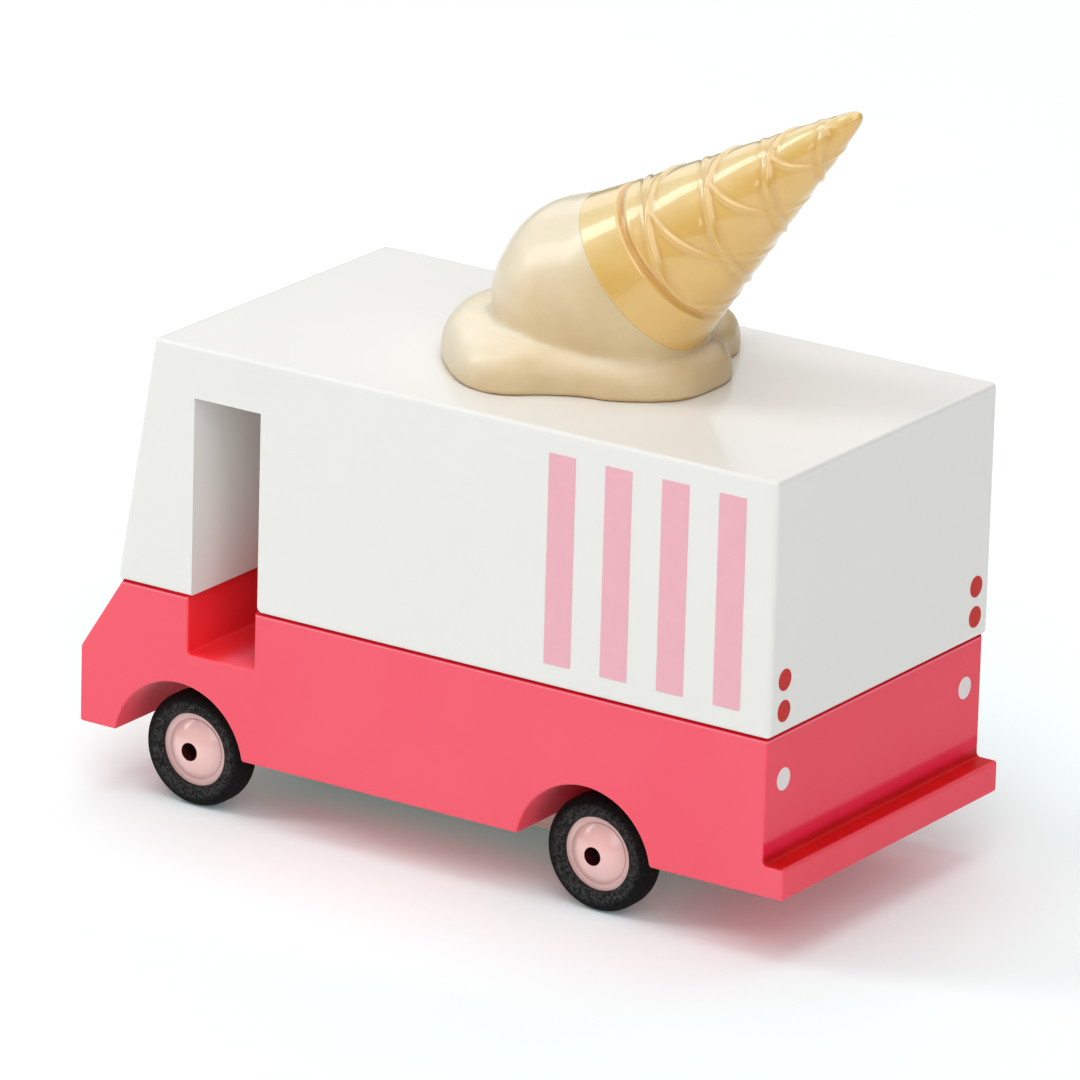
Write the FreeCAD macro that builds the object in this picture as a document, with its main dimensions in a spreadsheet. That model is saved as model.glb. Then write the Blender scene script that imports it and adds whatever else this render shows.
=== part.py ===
import FreeCAD, Part
import math
import os

import Sketcher
from FreeCAD import Placement, Rotation, Vector

# A small painted wooden toy: an ice cream truck sawn from two side-profile blocks, running on
# two steel axles, with a cast resin ice cream that has landed upside down on its roof.
# Millimetres. +X is forward, +Y the truck's left side, +Z up. The origin is on the ground
# under the middle of the truck. A name that ends in _x is measured forward from the back of
# the bumper step, and one that ends in _z is measured up from the ground.

SIZES = (
    # alias, value, what it measures
    ("overall_length", 95.4, "back of the bumper step to the nose"),
    ("base_width", 45.0, "base block, across"),
    ("body_width", 45.6, "body block, a shade wider than the base"),
    ("sill_z", 7.97, "underside of the base block"),
    ("seam_z", 26.3, "joint between base block and body block"),
    ("roof_z", 55.92, "flat roof"),
    ("step_z", 11.69, "top of the bumper step"),
    ("rear_x", 2.66, "tail of the base block"),
    ("body_rear_x", 2.3, "tail of the body block"),
    ("nose_z", 17.11, "top of the upright nose"),
    ("bonnet_x", 89.6, "top of the sloping bonnet"),
    ("screen_foot_x", 90.15, "foot of the windscreen face"),
    ("windscreen_x", 85.4, "top of the windscreen face"),
    ("door_rear_x", 70.64, "rear post of the doorway"),
    ("door_front_x", 79.76, "front post of the doorway"),
    ("door_top_z", 49.92, "head of the doorway"),
    ("door_foot_x", 69.84, "where the rear post's foot starts to round off"),
    ("door_foot_z", 27.1, "where that rounding ends, up the post"),
    ("door_foot_round", 1.1, "radius of that rounding"),
    ("cab_floor_z", 19.3, "cab floor sunk into the base block"),
    ("cab_floor_rear_x", 71.25, "rear end of the cab floor"),
    ("cab_floor_x", 80.4, "front end of the cab floor"),
    ("body_edge", 0.6, "sanded edge of the body block"),
    ("base_edge", 0.4, "sanded edge of the base block"),
    ("nose_round", 1.3, "rounding where the nose meets the bonnet"),
    ("step_hollow", 0.5, "hollow where the bumper step meets the tail"),
    ("arch_edge", 0.25, "eased edge of the wheel arches"),
    ("arch_radius", 8.95, "wheel arches, drilled right across"),
    ("arch_z", 6.55, "centre of the wheel arches"),
    ("front_arch_x", 81.56, "front wheel arch"),
    ("rear_arch_x", 26.3, "rear wheel arch"),
    ("front_axle_x", 81.2, "front axle"),
    ("rear_axle_x", 26.1, "rear axle"),
    ("axle_z", 6.8, "both axles, one tyre radius up"),
    ("axle_radius", 1.0, "steel pin"),
    ("axle_bore", 1.05, "bore in the rail, free running"),
    ("axle_half", 16.6, "middle to end of an axle"),
    ("rail_width", 24.0, "wooden rail that carries the axles"),
    ("rail_z", 4.7, "underside of the rail"),
    ("rail_rear_x", 20.2, "rear end of the rail"),
    ("rail_front_x", 87.6, "front end of the rail"),
    ("rail_edge", 0.3, "eased edge of the rail"),
    ("tyre_radius", 6.8, "tread"),
    ("tyre_inner_y", 16.2, "inner wall of a tyre, from the middle"),
    ("tyre_outer_y", 20.2, "outer wall of a tyre, from the middle"),
    ("tyre_shoulder", 1.35, "rounding of the tread's shoulders"),
    ("tyre_lip", 0.45, "rounding of the tyre's lip round the hub"),
    ("hub_radius", 4.35, "hub drum, gripped by the tyre"),
    ("hub_back_y", 16.0, "back of the hub drum"),
    ("boss_radius", 2.2, "spacer boss behind the hub"),
    ("boss_y", 12.3, "end of the boss, just clear of the rail"),
    ("ring_y", 19.3, "flat ring round the hub's face, sunk in the tyre"),
    ("ring_inner", 3.55, "inner edge of that ring"),
    ("dome_foot_y", 19.45, "foot of the hub's dome"),
    ("dome_top_y", 20.7, "crown of the dome, round the hole"),
    ("dome_round", 6.0, "radius of the dome's section"),
    ("hub_hole", 1.05, "hole in the middle of the hub"),
    ("print_depth", 0.06, "thickness of the pad-printed paint"),
    ("stripe_x", 6.14, "rear edge of the rearmost stripe"),
    ("stripe_pitch", 7.42, "stripe to stripe"),
    ("stripe_width", 3.5, "one stripe"),
    ("stripe_z", 28.93, "foot of the stripes"),
    ("stripe_height", 24.4, "length of the stripes"),
    ("lamp_radius", 1.25, "printed tail lamp"),
    ("reverse_radius", 1.3, "printed reversing lamp"),
    ("headlamp_radius", 2.0, "printed headlamp"),
    ("pane_width", 17.2, "one windscreen pane"),
    ("pane_height", 11.5, "windscreen pane, up the slope"),
    ("pane_gap", 1.6, "between the two panes"),
    ("pane_corner", 1.4, "rounded corner of a pane"),
    ("pane_up", 14.0, "foot of the panes, up the slope from the seam"),
    ("scoop_radius", 10.6, "ball of ice cream"),
    ("puddle_front_x", 62.0, "where the puddle's top is at its highest"),
    ("puddle_front_z", 61.5, "top of the puddle there"),
    ("puddle_rear_x", 24.0, "where the puddle's top is at its lowest"),
    ("puddle_rear_z", 59.8, "top of the puddle there"),
    ("puddle_brow", 3.0, "rounding of the puddle's upper edge"),
    ("puddle_foot", 0.8, "rounding where the puddle meets the roof"),
    ("puddle_clear_z", 92.0, "anywhere above the puddle, where its cut may end"),
    ("cone_rim", 10.5, "radius of the wafer cone at its rim"),
    ("cone_rim_edge", 0.2, "eased edge of the rim"),
    ("collar_length", 4.6, "plain collar at the rim"),
    ("collar_end", 9.08, "radius of the collar at its end"),
    ("groove_s", 5.0, "groove behind the collar, from the rim"),
    ("groove_radius", 8.5, "bottom of that groove"),
    ("wrap_s", 5.4, "where the wrapped wafer starts, from the rim"),
    ("wrap_start", 8.72, "radius of the wrapped wafer there"),
    ("rib_start", 3.6, "ribs start inside the collar, this far from the rim"),
    ("rib_length", 28.0, "run of the ribs along the cone's axis"),
    ("rib_pitch", 14.3, "ribs climb this far in one turn"),
    ("rib_taper", 0.4, "ribs draw in faster than the cone by this, degrees"),
    ("tip_radius", 0.75, "rounded tip"),
    ("tip_foot", 32.5, "where the tip's rounding starts, from the rim"),
    ("cone_length", 33.25, "rim to tip along the axis"),
    ("cone_tilt", 49.2, "axis of the cone from upright, leaning back, degrees"),
    ("cone_yaw", 10.3, "axis of the cone round the vertical, degrees"),
    ("rim_x", 35.01, "centre of the rim"),
    ("rim_z", 67.99, "centre of the rim"),
    ("scoop_x", 41.86, "middle of the ball"),
    ("scoop_z", 64.8, "middle of the ball"),
    ("sag_x", 42.4, "middle of the ball's sagging underside"),
    ("sag_y", 0.36, "middle of the ball's sagging underside"),
    ("sag_z", 63.6, "middle of the ball's sagging underside"),
    ("neck_depth", 2.2, "ball swells to fill the cone, this far behind the rim"),
)

doc = FreeCAD.newDocument("ice_cream_truck")
sheet = doc.addObject("Spreadsheet::Sheet", "sizes")
for row, (alias, value, meaning) in enumerate(SIZES, start=1):
    sheet.set("A" + str(row), meaning)
    sheet.set("B" + str(row), str(value))
    sheet.setAlias("B" + str(row), alias)
doc.recompute()

size = {alias: value for alias, value, meaning in SIZES}
same = 1e-4  # lengths that differ by less than this are the same
middle = size["overall_length"] / 2
half_width = size["base_width"] / 2
body_half = size["body_width"] / 2


def bind(item, **fields):
    """Tie fields of an object to cells of the sheet: Length="rail_length + 1"."""
    for field, formula in fields.items():
        words = formula.split()
        cells = ["sizes." + word if word in size else word for word in words]
        item.setExpression(field.replace("__", "."), " ".join(cells))


def new_body(label):
    body = doc.addObject("PartDesign::Body", label)
    body.Label = label
    return body


def origin_plane(body, role):
    return next(item for item in body.Origin.OriginFeatures if item.Role == role)


def new_sketch(body, name, role):
    sketch = body.newObject("Sketcher::SketchObject", name)
    sketch.AttachmentSupport = (origin_plane(body, role), "")
    sketch.MapMode = "FlatFace"
    return sketch


def cell_value(alias):
    return size.get(alias, 0.0)


def hold_point(sketch, piece, end, across, up):
    """Fix one end of a sketch line or arc at two cells' values; "0" is the sketch's axis."""
    for kind, alias in (("DistanceX", across), ("DistanceY", up)):
        if alias == "0":
            axis = -2 if kind == "DistanceX" else -1
            sketch.addConstraint(Sketcher.Constraint("PointOnObject", piece, end, axis))
            continue
        number = sketch.addConstraint(
            Sketcher.Constraint(kind, -1, 1, piece, end, cell_value(alias)))
        sketch.setExpression("Constraints[" + str(number) + "]", "sizes." + alias)


def outline(sketch, corners):
    """Closed outline. Each corner names the cells of its place, across and up, and the cell
    of the radius of the arc that leaves it, or None for a straight edge."""
    points = [Vector(cell_value(across), cell_value(up), 0) for across, up, arc in corners]
    ends = []
    for number, (across, up, arc) in enumerate(corners):
        start = points[number]
        finish = points[(number + 1) % len(points)]
        if arc is None:
            piece = sketch.addGeometry(Part.LineSegment(start, finish))
            ends.append((piece, 1, 2))
        else:
            chord = finish - start
            radius = size[arc]
            half = chord.Length / 2
            sagitta = radius - (radius * radius - half * half) ** 0.5
            outward = Vector(chord.y, -chord.x, 0).normalize()
            crown = (start + finish) * 0.5 + outward * sagitta
            piece = sketch.addGeometry(Part.ArcOfCircle(start, crown, finish))
            first = sketch.getPoint(piece, 1)
            turned = first.distanceToPoint(start) > first.distanceToPoint(finish)
            ends.append((piece, 2, 1) if turned else (piece, 1, 2))
            number_held = sketch.addConstraint(Sketcher.Constraint("Radius", piece, radius))
            sketch.setExpression("Constraints[" + str(number_held) + "]", "sizes." + arc)
    for number, (across, up, arc) in enumerate(corners):
        piece, begin, end = ends[number]
        before, before_begin, before_end = ends[number - 1]
        sketch.addConstraint(Sketcher.Constraint("Coincident", before, before_end, piece, begin))
        hold_point(sketch, piece, begin, across, up)


def edge_names(shape, wanted):
    """Names of the edges for which wanted(edge) is true, for a fillet's Base."""
    return ["Edge" + str(number) for number, edge in enumerate(shape.Edges, start=1)
            if wanted(edge)]


def fillet(body, name, wanted, radius):
    doc.recompute()
    base = body.Tip
    item = body.newObject("PartDesign::Fillet", name)
    item.Base = (base, edge_names(base.Shape, wanted))
    bind(item, Radius=radius)
    doc.recompute()
    return item


def pad_across(body, sketch, width):
    pad = body.newObject("PartDesign::Pad", "Pad_" + body.Label)
    pad.Profile = sketch
    pad.Midplane = True
    bind(pad, Length=width)
    return pad


def revolve(body, sketch, axis):
    turned = body.newObject("PartDesign::Revolution", "Turned_" + body.Label)
    turned.Profile = sketch
    turned.ReferenceAxis = (sketch, [axis])
    turned.Angle = 360.0
    return turned


def circle_in(sketch, across, up, radius):
    """A circle in a sketch, its centre and radius held by cells."""
    place = Vector(size[across], size[up], 0)
    ring = sketch.addGeometry(Part.Circle(place, Vector(0, 0, 1), size[radius]))
    held = sketch.addConstraint(Sketcher.Constraint("Radius", ring, size[radius]))
    sketch.setExpression("Constraints[" + str(held) + "]", "sizes." + radius)
    hold_point(sketch, ring, 3, across, up)


def cut_across(body, sketch, name):
    """Cut a side profile out of the full width of a body."""
    pocket = body.newObject("PartDesign::Pocket", name)
    pocket.Profile = sketch
    pocket.Midplane = True
    bind(pocket, Length="base_width * 2")
    doc.recompute()
    return pocket


def together(label, pieces):
    """Like pieces that don't touch, kept as one node."""
    group = doc.addObject("Part::Compound", label)
    group.Label = label
    group.Links = pieces
    return group


def is_round(edge):
    return not edge.Degenerated and edge.Curve.TypeId == "Part::GeomCircle"


def is_ring(edge, radius):
    """Round, with this cell's radius, whatever plane it lies in."""
    return is_round(edge) and abs(edge.Curve.Radius - size[radius]) < same


def ends_on_side_faces(edge):
    """Both ends lie in the sawn side faces: their outlines, and the edges straight across."""
    return all(abs(abs(vertex.Y) - half_width) < same for vertex in edge.Vertexes)


def across_at(*corners):
    """A test for the edges that run straight across at these corners of the side profile."""
    places = [(size[across], size[up]) for across, up in corners]

    def wanted(edge):
        box = edge.BoundBox
        return any(box.XLength + box.ZLength < same and abs(box.XMin - across) < same
                   and abs(box.ZMin - up) < same for across, up in places)
    return wanted


# Base block: the painted lower half, sawn to its side profile with the bumper step, the
# sloping bonnet and the cab floor, then drilled across for the wheel arches.

base_block = new_body("base_block")
base_profile = new_sketch(base_block, "BaseProfile", "XZ_Plane")
outline(base_profile, (
    # across, up, arc
    ("0", "sill_z", None),
    ("overall_length", "sill_z", None),
    ("overall_length", "nose_z", None),
    ("bonnet_x", "seam_z", None),
    ("cab_floor_x", "seam_z", None),
    ("cab_floor_x", "cab_floor_z", None),
    ("cab_floor_rear_x", "cab_floor_z", None),
    ("cab_floor_rear_x", "seam_z", None),
    ("rear_x", "seam_z", None),
    ("rear_x", "step_z", None),
    ("0", "step_z", None),
))
pad_across(base_block, base_profile, "base_width")
fillet(base_block, "NoseRound", across_at(("overall_length", "nose_z")), "nose_round")
fillet(base_block, "StepHollow", across_at(("rear_x", "step_z")), "step_hollow")
fillet(base_block, "BaseEdges", ends_on_side_faces, "base_edge")
uncut_volume = base_block.Shape.Volume

arch_profile = new_sketch(base_block, "ArchProfile", "XZ_Plane")
for station in ("front_arch_x", "rear_arch_x"):
    circle_in(arch_profile, station, "arch_z", "arch_radius")
cut_across(base_block, arch_profile, "WheelArches")
fillet(base_block, "ArchEdges", lambda edge: is_ring(edge, "arch_radius"), "arch_edge")
if base_block.Shape.Volume >= uncut_volume:
    raise RuntimeError("the wheel arches were not cut")
bind(base_block, Placement__Base__x="overall_length / -2")


# Body block: the white upper half, one thick comb shape with the doorway sawn up from below
# and a windscreen face that leans back.

body_block = new_body("body_block")
body_profile = new_sketch(body_block, "BodyProfile", "XZ_Plane")
outline(body_profile, (
    # across, up, arc
    ("body_rear_x", "seam_z", None),
    ("door_foot_x", "seam_z", "door_foot_round"),
    ("door_rear_x", "door_foot_z", None),
    ("door_rear_x", "door_top_z", None),
    ("door_front_x", "door_top_z", None),
    ("door_front_x", "seam_z", None),
    ("screen_foot_x", "seam_z", None),
    ("windscreen_x", "roof_z", None),
    ("body_rear_x", "roof_z", None),
))
pad_across(body_block, body_profile, "body_width")


def on_body_outside(edge):
    """Every outer edge of the block, but none of the doorway's crisp ones."""
    box = edge.BoundBox
    in_doorway = (box.XMin > size["door_foot_x"] - same
                  and box.XMax < size["door_front_x"] + same)
    return not in_doorway


fillet(body_block, "BodyEdges", on_body_outside, "body_edge")
bind(body_block, Placement__Base__x="overall_length / -2")


# Underside rail: a bare wooden strip under the base block, bored across for the two axles.

underside_rail = new_body("underside_rail")
rail_profile = new_sketch(underside_rail, "RailProfile", "XZ_Plane")
outline(rail_profile, (
    # across, up, arc
    ("rail_rear_x", "rail_z", None),
    ("rail_front_x", "rail_z", None),
    ("rail_front_x", "sill_z", None),
    ("rail_rear_x", "sill_z", None),
))
pad_across(underside_rail, rail_profile, "rail_width")


def on_rail_foot(edge):
    return all(abs(vertex.Z - size["rail_z"]) < same for vertex in edge.Vertexes)


fillet(underside_rail, "RailEdges", on_rail_foot, "rail_edge")
solid_volume = underside_rail.Shape.Volume
bore_profile = new_sketch(underside_rail, "BoreProfile", "XZ_Plane")
for station in ("front_axle_x", "rear_axle_x"):
    circle_in(bore_profile, station, "axle_z", "axle_bore")
cut_across(underside_rail, bore_profile, "AxleBores")
if underside_rail.Shape.Volume >= solid_volume:
    raise RuntimeError("the axle bores were not cut")
bind(underside_rail, Placement__Base__x="overall_length / -2")


# Axles: plain steel pins. The hubs are pressed on their ends, so each turns with its wheels.

WHEELSETS = (
    # name, cell of the axle's station
    ("front", "front_axle_x"),
    ("rear", "rear_axle_x"),
)

for end, station in WHEELSETS:
    axle = doc.addObject("Part::Cylinder", end + "_axle")
    axle.Label = end + "_axle"
    bind(axle, Radius="axle_radius", Height="axle_half * 2")
    place = Vector(size[station] - middle, -size["axle_half"], size["axle_z"])
    axle.Placement = Placement(place, Rotation(Vector(1, 0, 0), -90))


# Wheels: a moulded hub with a domed face and a hole in its middle, in a round-shouldered
# rubber tyre. Each is turned about its own Y axis with +Y outward, so a right-hand one is
# the same piece turned half round.

for end, station in WHEELSETS:
    for side, half_turn in (("left", 0), ("right", 180)):
        place = Placement(Vector(size[station] - middle, 0, size["axle_z"]),
                          Rotation(Vector(0, 0, 1), half_turn))

        hub = new_body(end + "_" + side + "_hub")
        hub_profile = new_sketch(hub, "Profile_" + hub.Label, "XY_Plane")
        outline(hub_profile, (
            # across, up, arc
            ("axle_radius", "boss_y", None),
            ("boss_radius", "boss_y", None),
            ("boss_radius", "hub_back_y", None),
            ("hub_radius", "hub_back_y", None),
            ("hub_radius", "ring_y", None),
            ("ring_inner", "ring_y", None),
            ("ring_inner", "dome_foot_y", "dome_round"),
            ("hub_hole", "dome_top_y", None),
            ("hub_hole", "axle_half", None),
            ("axle_radius", "axle_half", None),
        ))
        revolve(hub, hub_profile, "V_Axis")
        hub.Placement = place

        tyre = new_body(end + "_" + side + "_tyre")
        tyre_profile = new_sketch(tyre, "Profile_" + tyre.Label, "XY_Plane")
        outline(tyre_profile, (
            # across, up, arc
            ("hub_radius", "tyre_inner_y", None),
            ("tyre_radius", "tyre_inner_y", None),
            ("tyre_radius", "tyre_outer_y", None),
            ("hub_radius", "tyre_outer_y", None),
        ))
        revolve(tyre, tyre_profile, "V_Axis")
        fillet(tyre, "Shoulders_" + tyre.Label,
               lambda edge: is_ring(edge, "tyre_radius"), "tyre_shoulder")
        fillet(tyre, "Lip_" + tyre.Label,
               lambda edge: is_ring(edge, "hub_radius"), "tyre_lip")
        tyre.Placement = place


# Wafer cone: a cast cone with a plain collar at its rim and the wrapped wafer beyond, turned
# about its axis with the rim at the origin, then tipped back over the rear of the roof. Two
# pairs of half-round ribs climb it, one pair in each hand, and cross like a waffle's.

plain_cone = new_body("PlainCone")
cone_profile = new_sketch(plain_cone, "ConeProfile", "XZ_Plane")
outline(cone_profile, (
    # across, up, arc
    ("0", "0", None),
    ("cone_rim", "0", None),
    ("collar_end", "collar_length", None),
    ("groove_radius", "groove_s", None),
    ("wrap_start", "wrap_s", None),
    ("tip_radius", "tip_foot", "tip_radius"),
    ("0", "cone_length", None),
))
revolve(plain_cone, cone_profile, "V_Axis")
fillet(plain_cone, "RimEdge", lambda edge: is_ring(edge, "cone_rim"), "cone_rim_edge")

RIBS = (
    # name, start angle in degrees, bead radius, depth of its middle, wound left-handed
    ("left_a", -17.5, 0.62, 0.28, True),
    ("left_b", 162.5, 0.62, 0.28, True),
    ("right_a", -66.5, 0.52, 0.27, False),
    ("right_b", 113.5, 0.52, 0.27, False),
)

wrap_run = size["tip_foot"] - size["wrap_s"]
cone_slope = math.atan((size["wrap_start"] - size["tip_radius"]) / wrap_run)
rib_radius = size["wrap_start"] + (size["wrap_s"] - size["rib_start"]) * math.tan(cone_slope)

cone_turn = (Rotation(Vector(0, 0, 1), size["cone_yaw"])
             * Rotation(Vector(0, 1, 0), -size["cone_tilt"]))
rim_centre = Vector(size["rim_x"] - middle, 0, size["rim_z"])
cone_place = Placement(rim_centre, cone_turn)
plain_cone.Placement = cone_place

ribbed = [plain_cone]
for name, start_angle, bead, depth, left_handed in RIBS:
    line = Part.makeLongHelix(size["rib_pitch"], size["rib_length"], rib_radius - depth,
                              -math.degrees(cone_slope) - size["rib_taper"], left_handed)
    bead_edge = Part.Circle(Vector(rib_radius - depth, 0, 0), Vector(0, 1, 0), bead).toShape()
    sweep = Part.BRepOffsetAPI.MakePipeShell(Part.Wire(line.Edges))
    sweep.setFrenetMode(True)
    sweep.add(Part.Wire([bead_edge]))
    sweep.build()
    sweep.makeSolid()
    rib = doc.addObject("Part::Feature", "Rib_" + name)
    rib.Shape = sweep.shape()
    along = Placement(Vector(0, 0, size["rib_start"]), Rotation(Vector(0, 0, 1), start_angle))
    rib.Placement = cone_place * along
    joined = doc.addObject("Part::Fuse", "ConeWith_" + name)
    joined.Base = ribbed[-1]
    joined.Tool = rib
    doc.recompute()
    ribbed.append(joined)
wafer_cone = ribbed[-1]
wafer_cone.Label = "wafer_cone"


# Ice cream: a cast ball that fills the cone's rim and has slumped on the roof into a thick
# puddle with a bay in its left edge and a lobe at its far rear. Ball, neck and puddle are one
# casting, cut off flat on the roof and hollowed where the cone sits over it.

PUDDLE_EDGE = (
    # degrees round from straight ahead, reach from under the middle of the ball
    (-8, 18.3), (20, 17.1), (45, 16.5), (68, 17.1), (85, 16.4), (101, 13.6), (118, 12.9),
    (137, 14.6), (163, 16.7), (195, 16.6), (218, 15.4), (231, 17.6), (247, 19.8),
    (262, 18.7), (290, 16.6), (325, 17.4),
)

puddle = new_body("Puddle")
puddle_print = new_sketch(puddle, "PuddlePrint", "XY_Plane")
puddle_print.AttachmentOffset = Placement(Vector(0, 0, size["roof_z"]), Rotation())
edge_points = [Vector(size["scoop_x"] + reach * math.cos(math.radians(round_from)),
                      reach * math.sin(math.radians(round_from)), 0)
               for round_from, reach in PUDDLE_EDGE]
edge_curve = Part.BSplineCurve()
edge_curve.interpolate(Points=edge_points, PeriodicFlag=True)
shore = puddle_print.addGeometry(edge_curve)
puddle_print.addConstraint(Sketcher.Constraint("Block", shore))
slab = puddle.newObject("PartDesign::Pad", "PuddleSlab")
slab.Profile = puddle_print
bind(slab, Length="scoop_radius")
doc.recompute()
puddle_top = new_sketch(puddle, "PuddleTop", "XZ_Plane")
outline(puddle_top, (
    # across, up, arc
    ("puddle_rear_x", "puddle_rear_z", None),
    ("puddle_front_x", "puddle_front_z", None),
    ("puddle_front_x", "puddle_clear_z", None),
    ("puddle_rear_x", "puddle_clear_z", None),
))
cut_across(puddle, puddle_top, "PuddleSlope")


def on_puddle_top(edge):
    return edge.BoundBox.ZMin > size["puddle_rear_z"] - same


def on_puddle_foot(edge):
    return edge.BoundBox.ZMax < size["roof_z"] + same


fillet(puddle, "PuddleBrow", on_puddle_top, "puddle_brow")
fillet(puddle, "PuddleFoot", on_puddle_foot, "puddle_foot")
bind(puddle, Placement__Base__x="overall_length / -2")

ball_place = Vector(size["scoop_x"] - middle, 0, size["scoop_z"])
sag_place = Vector(size["sag_x"] - middle, size["sag_y"], size["sag_z"])
neck_place = rim_centre - cone_turn.multVec(Vector(0, 0, 1)) * size["neck_depth"]
neck_line = neck_place - ball_place

lumps = [puddle]
for name, place in (("Ball", ball_place), ("Sag", sag_place), ("Swell", neck_place)):
    lump = doc.addObject("Part::Sphere", name)
    bind(lump, Radius="scoop_radius")
    lump.Placement = Placement(place, Rotation())
    lumps.append(lump)
neck = doc.addObject("Part::Cylinder", "Neck")
bind(neck, Radius="scoop_radius")
neck.Height = neck_line.Length
neck.Placement = Placement(ball_place, Rotation(Vector(0, 0, 1), neck_line))
lumps.append(neck)

casting = doc.addObject("Part::MultiFuse", "Casting")
casting.Shapes = lumps
below_roof = doc.addObject("Part::Box", "BelowRoof")
bind(below_roof, Length="overall_length", Width="base_width", Height="roof_z")
below_roof.Placement = Placement(Vector(-middle, -half_width, 0), Rotation())
on_roof = doc.addObject("Part::Cut", "CastingOnRoof")
on_roof.Base = casting
on_roof.Tool = below_roof
cone_copy = doc.addObject("Part::Feature", "ConeCopy")
doc.recompute()
cone_copy.Shape = wafer_cone.Shape
ice_cream = doc.addObject("Part::Cut", "ice_cream")
ice_cream.Label = "ice_cream"
ice_cream.Base = on_roof
ice_cream.Tool = cone_copy


# Pad prints: flat shapes of paint on the finished blocks. Both sides carry the same stripes.

STRIPES_A_SIDE = 4

stripes = []
for side in (1, -1):
    for number in range(STRIPES_A_SIDE):
        stripe = doc.addObject("Part::Box", "Stripe")
        bind(stripe, Length="stripe_width", Width="print_depth", Height="stripe_height")
        face_y = body_half if side == 1 else -body_half - size["print_depth"]
        place = Vector(size["stripe_x"] + number * size["stripe_pitch"] - middle, face_y,
                       size["stripe_z"])
        stripe.Placement = Placement(place, Rotation())
        stripes.append(stripe)
together("side_stripes", stripes)

DOTS = (
    # node, y, z, cell of the radius, cell of the face's x, 1 on a front face or -1 on a rear
    ("tail_lamps", 19.9, 32.6, "lamp_radius", "body_rear_x", -1),
    ("tail_lamps", 19.9, 29.0, "lamp_radius", "body_rear_x", -1),
    ("reversing_lamps", 18.9, 20.75, "reverse_radius", "rear_x", -1),
    ("headlamps", 17.0, 12.9, "headlamp_radius", "overall_length", 1),
)

for node in ("tail_lamps", "reversing_lamps", "headlamps"):
    dots = []
    for name, dot_y, dot_z, radius, face_x, facing in DOTS:
        if name != node:
            continue
        for side in (1, -1):
            dot = doc.addObject("Part::Cylinder", "Dot")
            bind(dot, Radius=radius, Height="print_depth")
            dot.Placement = Placement(Vector(size[face_x] - middle, side * dot_y, dot_z),
                                      Rotation(Vector(0, 1, 0), 90 * facing))
            dots.append(dot)
    together(node, dots)

slope = Vector(size["windscreen_x"] - size["screen_foot_x"], 0, size["roof_z"] - size["seam_z"])
slope.normalize()
face_turn = Rotation(Vector(0, 0, 1), slope)
panes = []
for side in (1, -1):
    pane = doc.addObject("Part::Box", "Pane")
    bind(pane, Length="print_depth", Width="pane_width", Height="pane_height")
    edge_y = size["pane_gap"] / 2 if side == 1 else -size["pane_gap"] / 2 - size["pane_width"]
    place = Vector(size["screen_foot_x"] - middle, edge_y, size["seam_z"]) + slope * size["pane_up"]
    pane.Placement = Placement(place, face_turn)
    doc.recompute()
    rounded = doc.addObject("Part::Fillet", "RoundedPane")
    rounded.Base = pane
    corners = [number for number, edge in enumerate(pane.Shape.Edges, start=1)
               if abs(edge.Length - size["print_depth"]) < same]
    rounded.Edges = [(number, size["pane_corner"], size["pane_corner"]) for number in corners]
    panes.append(rounded)
together("windscreen_panes", panes)


# Check every object, then write one STEP file for each piece.

NODES = ("base_block", "body_block", "underside_rail", "ice_cream", "wafer_cone",
         "side_stripes", "tail_lamps", "reversing_lamps", "headlamps", "windscreen_panes",
         "front_axle", "front_left_hub", "front_right_hub", "front_left_tyre",
         "front_right_tyre", "rear_axle", "rear_left_hub", "rear_right_hub",
         "rear_left_tyre", "rear_right_tyre")

doc.recompute()
for item in doc.Objects:
    if "Invalid" in item.State or "Error" in item.State:
        raise RuntimeError(item.Name + " failed: " + str(item.State))
pieces = [next(item for item in doc.Objects if item.Label == node) for node in NODES]
for piece in pieces:
    if piece.Shape.isNull() or not piece.Shape.isValid():
        raise RuntimeError(piece.Label + " has no valid shape")

os.makedirs("parts", exist_ok=True)
for piece in pieces:
    piece.Shape.exportStep("parts/" + piece.Label + ".step")
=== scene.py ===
import math

import bmesh
import bpy
import numpy as np
from mathutils import Matrix, Quaternion, Vector


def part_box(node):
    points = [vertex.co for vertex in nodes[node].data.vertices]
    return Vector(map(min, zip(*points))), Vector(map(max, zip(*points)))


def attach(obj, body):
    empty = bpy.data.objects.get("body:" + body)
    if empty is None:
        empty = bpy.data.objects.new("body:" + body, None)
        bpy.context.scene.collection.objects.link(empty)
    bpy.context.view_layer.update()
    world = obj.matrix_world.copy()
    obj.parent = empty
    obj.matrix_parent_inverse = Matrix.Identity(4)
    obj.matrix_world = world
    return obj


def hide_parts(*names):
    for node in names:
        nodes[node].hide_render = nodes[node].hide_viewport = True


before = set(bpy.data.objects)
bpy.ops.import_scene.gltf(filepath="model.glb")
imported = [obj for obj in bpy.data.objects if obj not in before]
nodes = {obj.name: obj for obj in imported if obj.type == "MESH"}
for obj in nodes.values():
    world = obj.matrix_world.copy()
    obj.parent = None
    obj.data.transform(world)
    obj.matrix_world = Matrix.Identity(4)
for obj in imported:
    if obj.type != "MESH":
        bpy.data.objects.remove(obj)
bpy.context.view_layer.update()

# ---------------------------------------------------------------------------
# Pink base block: one piece of hardwood cut to the bonnet, the cab floor, the
# rear step and the wheel arches, and sprayed in satin pink enamel. Its ends are
# painted a deeper pink for shade, its cut corners carry painted shade, and its
# top edge carries a painted highlight over a painted shade line at the joint.


def new_finish(name):
    """An empty node material with its shader, ready to be wired."""
    finish = bpy.data.materials.new(name)
    finish.use_nodes = True
    return finish, finish.node_tree, finish.node_tree.nodes["Principled BSDF"]


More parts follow.
